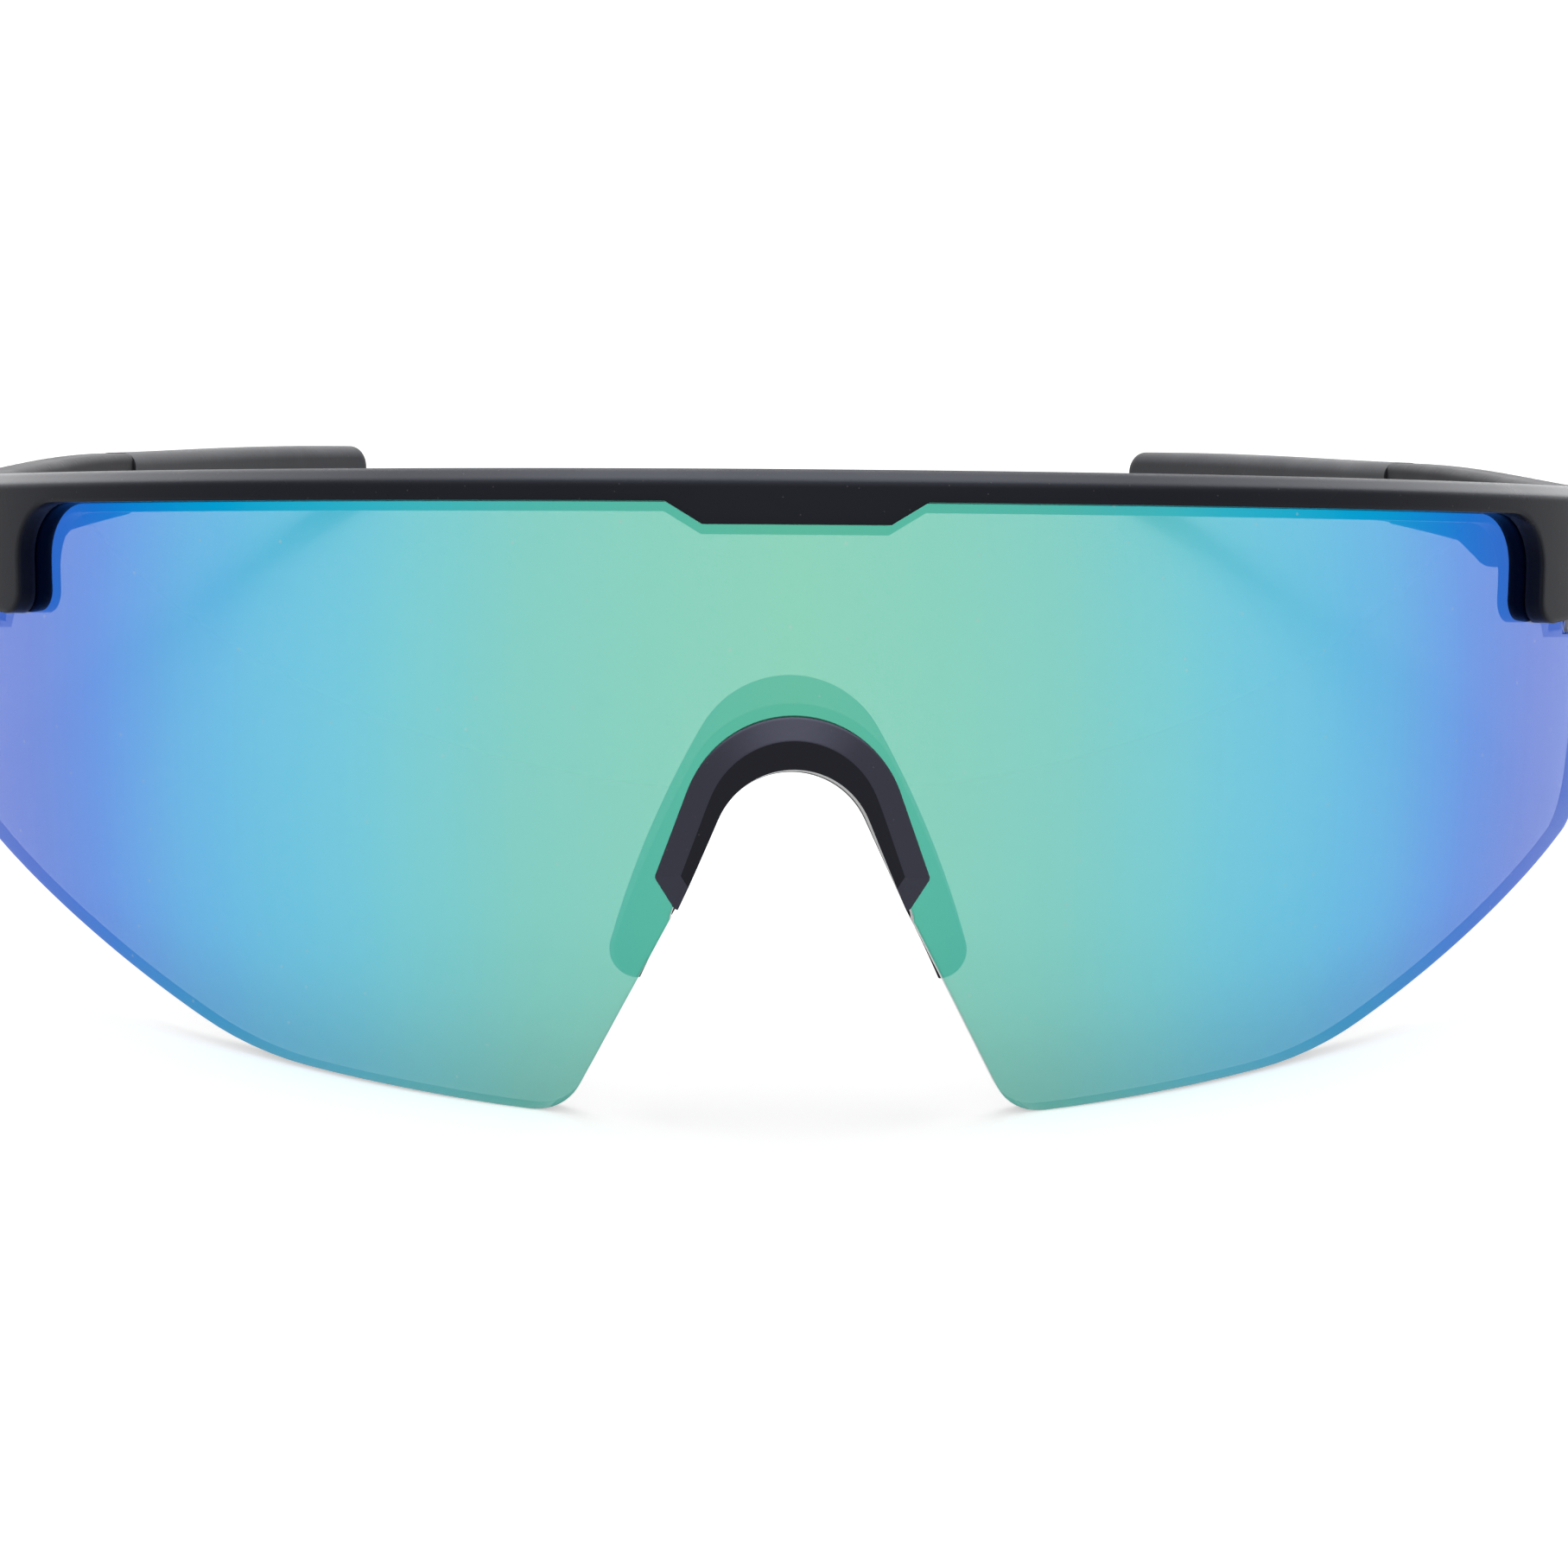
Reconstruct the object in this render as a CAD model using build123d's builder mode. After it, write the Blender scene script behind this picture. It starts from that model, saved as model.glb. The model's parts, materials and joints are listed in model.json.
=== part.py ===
from build123d import *
from math import asin, atan2, cos, degrees, radians, sin, sqrt, tan
import os

# Wraparound sport sunglasses: one wraparound lens hung from a half-rim brow, a nose clip with a
# soft pad on the lens, and two temples that fold on barrel hinges.
#
# Everything is drawn as worn: x across the face (+x is the wearer's left), y back along the
# temples, z up, with z = 0 on the flat top of the brow and y = 0 at the front of the lens.
# The last section turns the finished pieces into the pose in which the sunglasses stand on a
# table: on the lower edge of the lens and on the tips of the open temples.

os.makedirs("parts", exist_ok=True)

# ---------------------------------------------------------------------------------------------
# Driving dimensions, in millimetres and degrees
# ---------------------------------------------------------------------------------------------

# The lens is part of a shell, round across the face and rounder still from top to bottom
face_radius = 86.0
upright_radius = 145.0
widest_height = -4.0
lens_thickness = 1.8
lens_top = -1.0
lens_bevel = 0.5

# Lower edge of the lens: places on its front surface, as an angle round the face or a half
# width, with a height and the radius of the corner
notch_half_width = 18.2
notch_corner_height = -52.15
notch_corner_radius = 6.0
bend_angle = 34.2
bend_height = -48.15
bend_radius = 60.0
lens_end_angle = 57.4
lens_end_height = -28.9
lens_end_radius = 9.0
lens_shoulder_angle = 56.2
lens_shoulder_height = -12.3
lens_in_lug = 7.0

# The notch for the nose, and the arch of the clip that sits in it
notch_foot_half_width = 9.2
notch_foot_height = -34.85
notch_crown_height = -25.0
clip_radius = 6.5
clip_centre_height = -29.55
clip_lean = 19.0
clip_web = 1.2
clip_foot_height = -34.6
clip_back_drop = 1.05
clip_back_lean = 25.0
flange_radius = 9.0
flange_centre_height = -28.5
flange_lean = 20.0
flange_corner_height = -32.4
flange_toe = (9.35, -35.0)
flange_thickness = 1.1
flange_slope_width = 1.9
flange_slope_depth = 0.6
back_flange_width = 2.6
clip_back_thickness = 1.0
clip_depth = 7.0
flange_corner_radius = 0.5
rail_inset = 1.1
rail_thickness = 1.0
rail_length = 3.0
rail_bead = 0.35
rail_bead_length = 0.8

# The soft nose pad, which spreads from the clip towards the face
pad_depth = 12.5
pad_front_outer = dict(radius=9.4, height=-28.9, lean=24.0, foot=-40.0, tuck=1.0, toe_radius=2.4)
pad_back_outer = dict(radius=8.2, height=-24.4, lean=30.0, foot=-41.2, tuck=3.8, toe_radius=2.4)
pad_back_inner = dict(radius=8.0, height=-27.5, lean=17.0, foot=-44.0)
pad_edge_radius = 0.6

# The brow: a lip in front of the lens, one behind it and a bridge over its top edge
brow_height = 2.55
brow_proud = 1.8
brow_back_lip = 1.7
brow_back_margin = 0.75
brow_top_chamfer = 1.0
brow_edge_radius = 0.5
groove_top = -0.85
tab_top_width = 20.8
tab_bottom_width = 14.9
tab_height = 4.35

# The lugs that carry the hinges at the brow's ends
lug_angle = 47.5
lug_end_angle = 55.6
lug_height = 12.1
lug_back_setback = 1.5
lug_corner_radius = 4.6
lug_toe_radius = 2.0
lug_rise = 1.5
lug_side_length = 1.6
lug_edge_radius = 0.6

# Barrel hinge: two ears on the lug, the temple's knuckle between them, a screw and its bush
pin_inset = 4.6
pin_setback = 2.9
ear_radius = 2.6
ear_top = -0.6
ear_height = 2.4
ear_root = 3.0
knuckle_radius = 2.5
knuckle_height = 5.0
screw_diameter = 1.6
screw_head_diameter = 2.8
screw_head_height = 0.9
screw_slot = 0.45
bush_diameter = 2.9
bush_height = 2.1

# Temples
temple_length = 120.0
temple_bend_radius = 268.0
temple_straight = 5.0
temple_thickness = 3.7
temple_edge_radius = 0.9
core_thickness = 2.2
core_height = 3.4
core_tip_gap = 9.0
sleeve_start_insets = (-0.25, 3.95)
sleeve_tip_insets = (-1.6, 3.9)
sleeve_edge_radius = 1.4
sleeve_tip_radius = 2.4

# Side of a temple: shares of its length and heights, along the underside and the top
sleeve_start_share = 0.5
arm_underside = ((0.0, -10.4), (0.067, -7.3), (0.267, -6.7), (0.333, -4.2), (0.517, -2.0))
arm_top = ((0.0, 0.0), (0.125, 0.8), (0.267, 2.1), (0.517, 4.0))
arm_rounding = (12.0, 8.0, 12.0)
sleeve_underside = ((0.483, -2.2), (0.65, -0.95), (0.833, -0.45), (1.033, 0.05))
sleeve_top = ((0.483, 3.9), (0.742, 5.45), (0.883, 6.3), (1.033, 6.95))
sleeve_rounding = (30.0, 30.0)

# Clearances
lens_gap = 0.08
clip_gap = 0.06
pad_gap = 0.12
stop_gap = 0.02
ear_gap = 0.05
sweep_gap = 0.25
screw_gap = 0.04
bush_gap = 0.02
sleeve_gap = 0.05

# ---------------------------------------------------------------------------------------------
# The shell and the planes that the pieces share
# ---------------------------------------------------------------------------------------------

shell_axis = Axis((0, face_radius, 0), (0, 0, 1))
sight_height = (lens_top + notch_corner_height) / 2
drawing_standoff = 2.0


def shell_y(height, offset=0.0):
    """Depth of the shell on the middle line; offset moves it forward, square to its surface."""
    return upright_radius - sqrt((upright_radius + offset) ** 2 - (height - widest_height) ** 2)


def shell_radius(height):
    """Distance of the lens's front from the shell's axis."""
    return face_radius - shell_y(height)


def around(angle, height):
    """Half width at which a place on the lens lies, from its angle round the face."""
    return shell_radius(height) * sin(radians(angle))


def sighted(half_width, height):
    """A place on the lens, drawn on the plane in front of it as seen from the sight point."""
    depth = face_radius - sqrt(shell_radius(height) ** 2 - half_width**2)
    spread = (face_radius + drawing_standoff) / (face_radius - depth)
    return (half_width * spread, sight_height + (height - sight_height) * spread)


def shell_band(front, back, top, bottom):
    """Draw a strip of the shell's section, from one offset of the lens's front to another."""
    middle = (top + bottom) / 2
    with BuildLine() as section:
        ThreePointArc(*[(shell_y(h, front), h) for h in (top, middle, bottom)])
        Line((shell_y(bottom, front), bottom), (shell_y(bottom, -back), bottom))
        ThreePointArc(*[(shell_y(h, -back), h) for h in (bottom, middle, top)])
        Line((shell_y(top, -back), top), (shell_y(top, front), top))
    make_face(section.edges())


def shell_ring(front, back, top, bottom):
    """A strip of the shell as a solid, all the way round its axis."""
    with BuildPart() as ring:
        with BuildSketch(Plane.YZ):
            shell_band(front, back, top, bottom)
        revolve(axis=shell_axis)
    return ring.part


def arch(radius, height, lean, foot, tuck=0.0, toe_radius=0.0):
    """Draw an arch: a round crown, and legs that lean outwards to the foot and may tuck back in."""
    with BuildLine() as outline:
        crown = CenterArc((0, height), radius, lean, 180 - 2 * lean)
        reach = (crown @ 0).X + ((crown @ 0).Y - foot) * tan(radians(lean)) - tuck
        for side, knee in ((1, crown @ 0), (-1, crown @ 1)):
            if tuck:
                downwards = (side * sin(radians(lean)), -cos(radians(lean)))
                TangentArc(knee, (side * reach, foot), tangent=downwards)
            else:
                Line(knee, (side * reach, foot))
        Line((-reach, foot), (reach, foot))
    make_face(outline.edges())
    if toe_radius:
        fillet(vertices().sort_by(Axis.Y)[:2], toe_radius)


side_angle = radians(lug_angle)
side_plane = Plane(
    origin=(face_radius * sin(side_angle), face_radius - face_radius * cos(side_angle), 0),
    x_dir=(cos(side_angle), sin(side_angle), 0),
    z_dir=(sin(side_angle), -cos(side_angle), 0),
)

brow_radius = face_radius + brow_proud
outer_x = brow_radius * sin(radians(lug_end_angle))
lug_back = face_radius - brow_radius * cos(radians(lug_end_angle)) + lug_side_length
pin_x = outer_x - pin_inset
pin_y = lug_back + pin_setback
knuckle_top = ear_top - ear_height - ear_gap
lower_ear_top = knuckle_top - knuckle_height - ear_gap
lower_ear_bottom = lower_ear_top - ear_height
back_of_brow = lens_thickness + lens_gap + brow_back_lip
far = 4 * face_radius
upwards = (Align.CENTER, Align.CENTER, Align.MIN)
downwards = (Align.CENTER, Align.CENTER, Align.MAX)

# ---------------------------------------------------------------------------------------------
# Lens
# ---------------------------------------------------------------------------------------------

lens_outline = [
    sighted(around(lens_shoulder_angle, lens_top), lens_top),
    sighted(around(lens_end_angle, lens_end_height), lens_end_height),
    sighted(around(bend_angle, bend_height), bend_height),
    sighted(notch_half_width, notch_corner_height),
    sighted(notch_foot_half_width, notch_foot_height),
]
notch_slope = (lens_outline[3][0] - lens_outline[4][0]) / (lens_outline[3][1] - lens_outline[4][1])
notch_crown = (
    lens_outline[4][0] + notch_slope * (notch_crown_height - lens_outline[4][1]),
    notch_crown_height,
)
lens_corners = [lens_end_radius, bend_radius, notch_corner_radius, 0]

with BuildSketch(Plane.XZ.offset(drawing_standoff)) as lens_front:
    with BuildLine():
        top = (lens_outline[0][0], far)
        FilletPolyline(top, *lens_outline, notch_crown, radius=[0, *lens_corners])
        mirror(about=Plane.YZ)
        Line(top, (-top[0], top[1]))
        Line(notch_crown, (-notch_crown[0], notch_crown[1]))
    make_face()


def in_view(edge):
    """Whether an edge of the lens shows, free of the lugs and of the nose clip's seat."""
    middle = edge.center()
    beside_clip = middle.Z > clip_foot_height and abs(middle.X) < 2 * clip_radius
    return middle.Z < lens_shoulder_height and not beside_clip


# The ends that go into the lugs are narrower than what shows below them
with BuildPart() as lens_shoulder:
    with BuildSketch(side_plane):
        with Locations((lens_in_lug, lens_shoulder_height)):
            Rectangle(far, far, align=(Align.MIN, Align.MIN))
    extrude(amount=face_radius / 4, both=True)

with BuildPart() as shield_lens:
    with BuildSketch(Plane.YZ):
        shell_band(0, lens_thickness, lens_top, 1.2 * notch_corner_height)
    revolve(axis=shell_axis)
    sight_point = Vertex(0, face_radius, sight_height)
    loft([lens_front.sketch.face(), sight_point], ruled=True, mode=Mode.INTERSECT)
    add(lens_shoulder.part, mode=Mode.SUBTRACT)
    mirror(lens_shoulder.part, about=Plane.YZ, mode=Mode.SUBTRACT)
    # The seat of the nose clip
    with BuildSketch(Plane.XZ):
        arch(clip_radius + clip_web + clip_gap, clip_centre_height, clip_lean, flange_toe[1])
    extrude(amount=face_radius / 4, both=True, mode=Mode.SUBTRACT)
    # A bevel along every edge that shows in front
    lens_front_face = shield_lens.faces().filter_by(GeomType.REVOLUTION).sort_by(Axis.Y)[0]
    chamfer(lens_front_face.edges().filter_by(in_view), lens_bevel)

# ---------------------------------------------------------------------------------------------
# Brow: two lips and a bridge round the lens's top edge, with a lug at each end
# ---------------------------------------------------------------------------------------------

side_cut_start = -20.0
below_lug = 1.5 * lug_height


def brow_lip(front, back, margin, setback):
    """A lip of the brow: a strip of the shell cut to the brow's outline.

    The margin lowers its underside, and the setback moves its ends at the lugs outwards.
    """
    underside = -(brow_height + margin)
    with BuildPart() as side_opening:
        with BuildSketch(side_plane):
            with BuildLine():
                inner_corners = [
                    (side_cut_start, underside),
                    (setback, underside),
                    (setback, -lug_height),
                    (lug_height, lug_rise - lug_height),
                ]
                FilletPolyline(*inner_corners, radius=[lug_corner_radius, lug_toe_radius])
                Polyline(
                    inner_corners[-1],
                    (lug_height, -below_lug),
                    (side_cut_start, -below_lug),
                    inner_corners[0],
                )
            make_face()
        extrude(amount=face_radius / 4, both=True)
    with BuildPart() as lip:
        add(shell_ring(front, back, 0, -lug_height))
        with BuildSketch(Plane.XZ):
            reach = around(lug_angle, underside) + side_cut_start / 2
            with BuildLine():
                Polyline(
                    (-reach, underside),
                    (-tab_top_width / 2, underside),
                    (-tab_bottom_width / 2, -tab_height - margin),
                    (tab_bottom_width / 2, -tab_height - margin),
                    (tab_top_width / 2, underside),
                    (reach, underside),
                    (reach, -below_lug),
                    (-reach, -below_lug),
                    close=True,
                )
            make_face()
        extrude(amount=lug_back, both=True, mode=Mode.SUBTRACT)
        add(side_opening.part, mode=Mode.SUBTRACT)
        mirror(side_opening.part, about=Plane.YZ, mode=Mode.SUBTRACT)
        split(bisect_by=Plane.XZ.offset(-lug_back))
    return lip.part


# The room that the lens takes up in the brow, which ends where its shoulders meet the lugs
with BuildPart() as lug_core:
    with BuildSketch(side_plane):
        with Locations((lens_in_lug + lens_gap, 0)):
            Rectangle(far, far, align=(Align.MIN, Align.CENTER))
    extrude(amount=face_radius / 4, both=True)

with BuildPart() as lens_groove:
    add(shell_ring(lens_gap, lens_thickness + lens_gap, groove_top, -below_lug))
    add(lug_core.part, mode=Mode.SUBTRACT)
    mirror(lug_core.part, about=Plane.YZ, mode=Mode.SUBTRACT)



def under_brow(edge):
    """Whether an edge of the brow's front runs along its underside or the lens's side of a lug."""
    middle = edge.center()
    return middle.Z < -2 * brow_top_chamfer and middle.Y < lug_back - 2 * lug_edge_radius


# An ear of the hinge, long enough to root in the lug
with BuildPart() as upper_ear:
    with BuildSketch(Plane.XY.offset(ear_top - ear_height)):
        with Locations((pin_x, pin_y)):
            Circle(ear_radius)
            Rectangle(2 * ear_radius, pin_setback + ear_root, align=(Align.CENTER, Align.MAX))
    extrude(amount=ear_height)

hinge_ears = [upper_ear.part, Pos(0, 0, lower_ear_bottom - ear_top + ear_height) * upper_ear.part]

with BuildPart() as brow_frame:
    add(brow_lip(brow_proud, lens_thickness / 2, 0, 0))
    top_edges = brow_frame.faces().sort_by(Axis.Z)[-1].edges().filter_by(GeomType.CIRCLE)
    chamfer(top_edges.sort_by(SortBy.LENGTH)[-1], brow_top_chamfer)
    rear_corners = brow_frame.edges().sort_by(Axis.X)
    fillet([rear_corners[0], rear_corners[-1]], lug_edge_radius)
    front_of_brow = brow_frame.faces().filter_by(GeomType.REVOLUTION).sort_by(SortBy.AREA)[-1]
    fillet(front_of_brow.edges().filter_by(under_brow), brow_edge_radius)
    add(brow_lip(-lens_thickness / 2, back_of_brow, brow_back_margin, lug_back_setback))
    add(lens_groove.part, mode=Mode.SUBTRACT)
    for ear in hinge_ears:
        add(ear)
        mirror(ear, about=Plane.YZ)
    for side in (-1, 1):
        with Locations((side * pin_x, pin_y, lower_ear_bottom)):
            Cylinder(screw_diameter / 2 + screw_gap, far, mode=Mode.SUBTRACT)
            Cylinder(bush_diameter / 2 + bush_gap, bush_height, align=upwards, mode=Mode.SUBTRACT)
        with Locations((side * pin_x, pin_y, ear_top)):
            head_room = screw_head_diameter / 2 + screw_gap
            Cylinder(head_room, screw_head_height, align=downwards, mode=Mode.SUBTRACT)

# ---------------------------------------------------------------------------------------------
# Nose clip and pad
# ---------------------------------------------------------------------------------------------

back_of_clip = lens_thickness + lens_gap + clip_back_thickness
clip_top = flange_centre_height + 2 * flange_radius
clip_bottom = flange_toe[1] - flange_radius


def through(radius, height, lean, foot):
    """An arch as a solid that runs through the shell from front to back."""
    with BuildPart() as prism:
        with BuildSketch(Plane.XZ):
            arch(radius, height, lean, foot)
        extrude(amount=face_radius / 4, both=True)
    return prism.part


def flange_prism():
    """The outline of the clip's front flange as a solid."""
    lean = radians(flange_lean)
    with BuildPart() as prism:
        with BuildSketch(Plane.XZ):
            with BuildLine() as outline:
                crown = CenterArc(
                    (0, flange_centre_height), flange_radius, flange_lean, 180 - 2 * flange_lean
                )
                drop = (crown @ 0).Y - flange_corner_height
                corner = ((crown @ 0).X + drop * tan(lean), flange_corner_height)
                toe = flange_toe
                Polyline(crown @ 0, corner, toe, (-toe[0], toe[1]), (-corner[0], corner[1]), crown @ 1)
            make_face(outline.edges())
        extrude(amount=face_radius / 4, both=True)
    return prism.part


def arch_section(depth, *sizes, **named_sizes):
    """An arch on the plane at a depth behind the lens's foremost point."""
    with BuildSketch(Plane.XZ.offset(-depth)) as section:
        arch(*sizes, **named_sizes)
    return section.sketch.face()


# The arch for the nose, which widens towards the face
opening_front = arch_section(-flange_radius, clip_radius, clip_centre_height, clip_lean, clip_bottom)
opening_middle = arch_section(
    clip_depth, clip_radius, clip_centre_height - clip_back_drop, clip_back_lean, clip_bottom
)
with BuildPart() as nose_opening:
    loft([opening_front, opening_middle], ruled=True)
    loft([opening_middle, arch_section(1.1 * pad_depth, **pad_back_inner)], ruled=True)


def clip_rail(margin):
    """The rail on the clip's back that holds the pad, with a bead at its end."""
    start = lens_thickness + lens_gap
    end = back_of_clip + rail_length + margin
    inner = clip_radius + rail_inset - margin
    outer = clip_radius + rail_inset + rail_thickness + margin
    with BuildPart() as rail:
        add(shell_ring(-start, end, clip_top, clip_bottom))
        add(through(outer, clip_centre_height, clip_lean, clip_foot_height - margin), mode=Mode.INTERSECT)
    with BuildPart() as bead:
        add(shell_ring(-(end - rail_bead_length - margin), end, clip_top, clip_bottom))
        add(
            through(outer + rail_bead, clip_centre_height, clip_lean, clip_foot_height - margin),
            mode=Mode.INTERSECT,
        )
    with BuildPart() as whole:
        add(rail.part)
        add(bead.part)
        add(through(inner, clip_centre_height, clip_lean, clip_bottom), mode=Mode.SUBTRACT)
    return whole.part


back_flange_radius = clip_radius + back_flange_width
web_radius = clip_radius + clip_web

with BuildPart() as clip_back:
    add(shell_ring(0, back_of_clip, clip_top, clip_bottom))
    add(through(back_flange_radius, clip_centre_height, clip_lean, clip_foot_height), mode=Mode.INTERSECT)
    add(flange_prism(), mode=Mode.INTERSECT)

with BuildPart() as clip_groove:
    add(shell_ring(lens_gap, lens_thickness + lens_gap, clip_top, clip_bottom))
    add(through(web_radius, clip_centre_height, clip_lean, clip_bottom), mode=Mode.SUBTRACT)

with BuildPart() as nose_clip:
    add(shell_ring(flange_thickness, lens_thickness / 2, clip_top, clip_bottom))
    add(flange_prism(), mode=Mode.INTERSECT)
    clip_face = nose_clip.faces().filter_by(GeomType.REVOLUTION).sort_by(Axis.Y)[0]
    outline_edges = clip_face.edges().filter_by(lambda edge: edge.center().Z > flange_toe[1] + 0.1)
    chamfer(outline_edges, flange_slope_width, flange_slope_depth, reference=clip_face)
    corners = nose_clip.edges().filter_by(Axis.Y).filter_by(lambda edge: edge.center().Z < clip_centre_height)
    fillet(corners, flange_corner_radius)
    add(clip_back.part)
    add(clip_groove.part, mode=Mode.SUBTRACT)
    add(clip_rail(0))
    add(nose_opening.part, mode=Mode.SUBTRACT)

with BuildPart() as pad_room:
    add(shell_ring(2 * pad_depth, back_of_clip + pad_gap, clip_top, 2 * clip_bottom))

with BuildPart() as nose_pad:
    loft([arch_section(0, **pad_front_outer), arch_section(pad_depth, **pad_back_outer)], ruled=True)
    add(nose_opening.part, mode=Mode.SUBTRACT)
    pad_back = nose_pad.faces().sort_by(Axis.Y)[-1]
    fillet(pad_back.edges(), pad_edge_radius)
    add(pad_room.part, mode=Mode.SUBTRACT)
    add(clip_rail(pad_gap), mode=Mode.SUBTRACT)

# ---------------------------------------------------------------------------------------------
# Hinge screw and bush
# ---------------------------------------------------------------------------------------------

with BuildPart() as hinge_screw:
    with Locations((pin_x, pin_y, ear_top)):
        Cylinder(screw_diameter / 2, ear_top - lower_ear_bottom, align=downwards)
        Cylinder(screw_head_diameter / 2, screw_head_height, align=downwards)
        Box(screw_head_diameter, screw_slot, screw_slot, align=downwards, mode=Mode.SUBTRACT)

with BuildPart() as hinge_bush:
    with Locations((pin_x, pin_y, lower_ear_bottom)):
        Cylinder(bush_diameter / 2, bush_height, align=upwards)
        Cylinder(screw_diameter / 2 + bush_gap, bush_height, align=upwards, mode=Mode.SUBTRACT)

# ---------------------------------------------------------------------------------------------
# Temples
# ---------------------------------------------------------------------------------------------

temple_front = lug_back + stop_gap
sleeve_start = sleeve_start_share * temple_length
bend_centre_x = outer_x - temple_bend_radius


def along(distance, inset):
    """Place on the plan of a temple, at a distance behind the lug and in from its outer face."""
    angle = asin((distance - temple_straight) / temple_bend_radius)
    radius = temple_bend_radius - inset
    return (bend_centre_x + radius * cos(angle), temple_front + temple_straight + radius * sin(angle))


def temple_plan(start, end, outer_insets, inner_insets):
    """Draw the plan of a length of the temple, with its insets at the start and the end."""
    middle = (start + end) / 2
    outer_middle = sum(outer_insets) / 2
    inner_middle = sum(inner_insets) / 2
    with BuildLine() as plan:
        outer = ThreePointArc(
            along(start, outer_insets[0]), along(middle, outer_middle), along(end, outer_insets[1])
        )
        inner = ThreePointArc(
            along(start, inner_insets[0]), along(middle, inner_middle), along(end, inner_insets[1])
        )
        Line(outer @ 0, inner @ 0)
        Line(outer @ 1, inner @ 1)
    make_face(plan.edges())


def temple_side(underside, upper, rounding):
    """Draw the side of a length of the temple from its underside and its top."""
    low = [(temple_front + share * temple_length, height) for share, height in underside]
    high = [(temple_front + share * temple_length, height) for share, height in upper]
    with BuildLine() as side:
        FilletPolyline(*low, radius=rounding)
        Spline(*high)
        Line(low[0], high[0])
        Line(low[-1], high[-1])
    make_face(side.edges())


def temple_length_of(plan, side):
    """A length of the temple as a solid, from the drawing of its plan and of its side."""
    with BuildPart() as length:
        with BuildSketch(Plane.XY):
            temple_plan(*plan)
        extrude(amount=lug_height * 2, both=True)
        with BuildSketch(Plane.YZ):
            temple_side(*side)
        extrude(amount=far, mode=Mode.INTERSECT)
    return length.part


def lengthways(edge):
    """Whether an edge runs along the temple."""
    return abs((edge @ 1 - edge @ 0).Y) > knuckle_height / 2


def sleeve_core(margin):
    """The slim length of the arm that runs inside the sleeve, grown by a margin."""
    inset = (temple_thickness - core_thickness) / 2
    reach = core_height / 2 + margin
    middles = [
        (low[0], (low[1] + high[1]) / 2) for low, high in zip(sleeve_underside, sleeve_top)
    ]
    plan = (
        sleeve_start - 1,
        temple_length - core_tip_gap + margin,
        (inset - margin, inset - margin),
        (inset + core_thickness + margin, inset + core_thickness + margin),
    )
    below = [(share, height - reach) for share, height in middles]
    above = [(share, height + reach) for share, height in middles]
    return temple_length_of(plan, (below, above, sleeve_rounding))


hinge_room_x = pin_x + ear_radius + sweep_gap
hinge_room_y = pin_y + ear_radius + sweep_gap

with BuildPart() as left_temple_arm:
    add(
        temple_length_of(
            (-1, sleeve_start, (0, 0), (temple_thickness, temple_thickness)),
            (arm_underside, arm_top, arm_rounding),
        )
    )
    fillet(left_temple_arm.edges().filter_by(lengthways), temple_edge_radius)
    # Room for the ears, with a shoulder left outside them that stops against the lug
    with Locations((hinge_room_x, hinge_room_y, 0)):
        room = (Align.MAX, Align.MAX, Align.CENTER)
        Box(lug_height, lug_height, 3 * lug_height, align=room, mode=Mode.SUBTRACT)
    with BuildSketch(Plane.XY.offset(knuckle_top - knuckle_height)):
        with Locations((pin_x, pin_y)):
            Circle(knuckle_radius)
        with BuildLine():
            Polyline(
                (pin_x - knuckle_radius, pin_y),
                (pin_x - knuckle_radius, pin_y + knuckle_radius),
                (outer_x - temple_thickness / 2, pin_y + 3 * knuckle_radius),
                (outer_x - temple_thickness / 2, pin_y),
                close=True,
            )
        make_face()
    extrude(amount=knuckle_height)
    with Locations((pin_x, pin_y, knuckle_top)):
        Cylinder(screw_diameter / 2 + screw_gap, far, mode=Mode.SUBTRACT)
    add(sleeve_core(0))

with BuildPart() as left_temple_sleeve:
    add(
        temple_length_of(
            (
                sleeve_start + sleeve_gap,
                temple_length,
                (sleeve_start_insets[0], sleeve_tip_insets[0]),
                (sleeve_start_insets[1], sleeve_tip_insets[1]),
            ),
            (sleeve_underside, sleeve_top, sleeve_rounding),
        )
    )
    tip = left_temple_sleeve.faces().sort_by(Axis.Y)[-1]
    fillet(tip.edges().sort_by(Axis.Z)[0::3], sleeve_tip_radius)
    fillet(left_temple_sleeve.edges().filter_by(lengthways), sleeve_edge_radius)
    add(sleeve_core(sleeve_gap), mode=Mode.SUBTRACT)

# ---------------------------------------------------------------------------------------------
# The pose on the table
# ---------------------------------------------------------------------------------------------

pieces = {
    "brow_frame": brow_frame.part,
    "shield_lens": shield_lens.part,
    "nose_clip": nose_clip.part,
    "nose_pad": nose_pad.part,
    "left_temple_arm": left_temple_arm.part,
    "left_temple_sleeve": left_temple_sleeve.part,
    "left_hinge_screw": hinge_screw.part,
    "left_hinge_bush": hinge_bush.part,
}
for name in [name for name in pieces if name.startswith("left")]:
    pieces[name.replace("left", "right")] = mirror(pieces[name], about=Plane.YZ)

# The tilt at which the lens and the tips of the temples touch the table together
tilt = 0.0
for _ in range(5):
    lens_low = (Rot(-tilt, 0, 0) * pieces["shield_lens"]).bounding_box().min.Z
    tip_low = (Rot(-tilt, 0, 0) * pieces["left_temple_sleeve"]).bounding_box().min.Z
    tilt += degrees(atan2(tip_low - lens_low, temple_front + temple_length))

standing = (Rot(-tilt, 0, 0) * Compound(list(pieces.values()))).bounding_box()
rest = Pos(-standing.center().X, -standing.center().Y, -standing.min.Z) * Rot(-tilt, 0, 0)

for name, piece in pieces.items():
    placed = rest * piece
    placed.label = name
    export_step(placed, f"parts/{name}.step")
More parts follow.
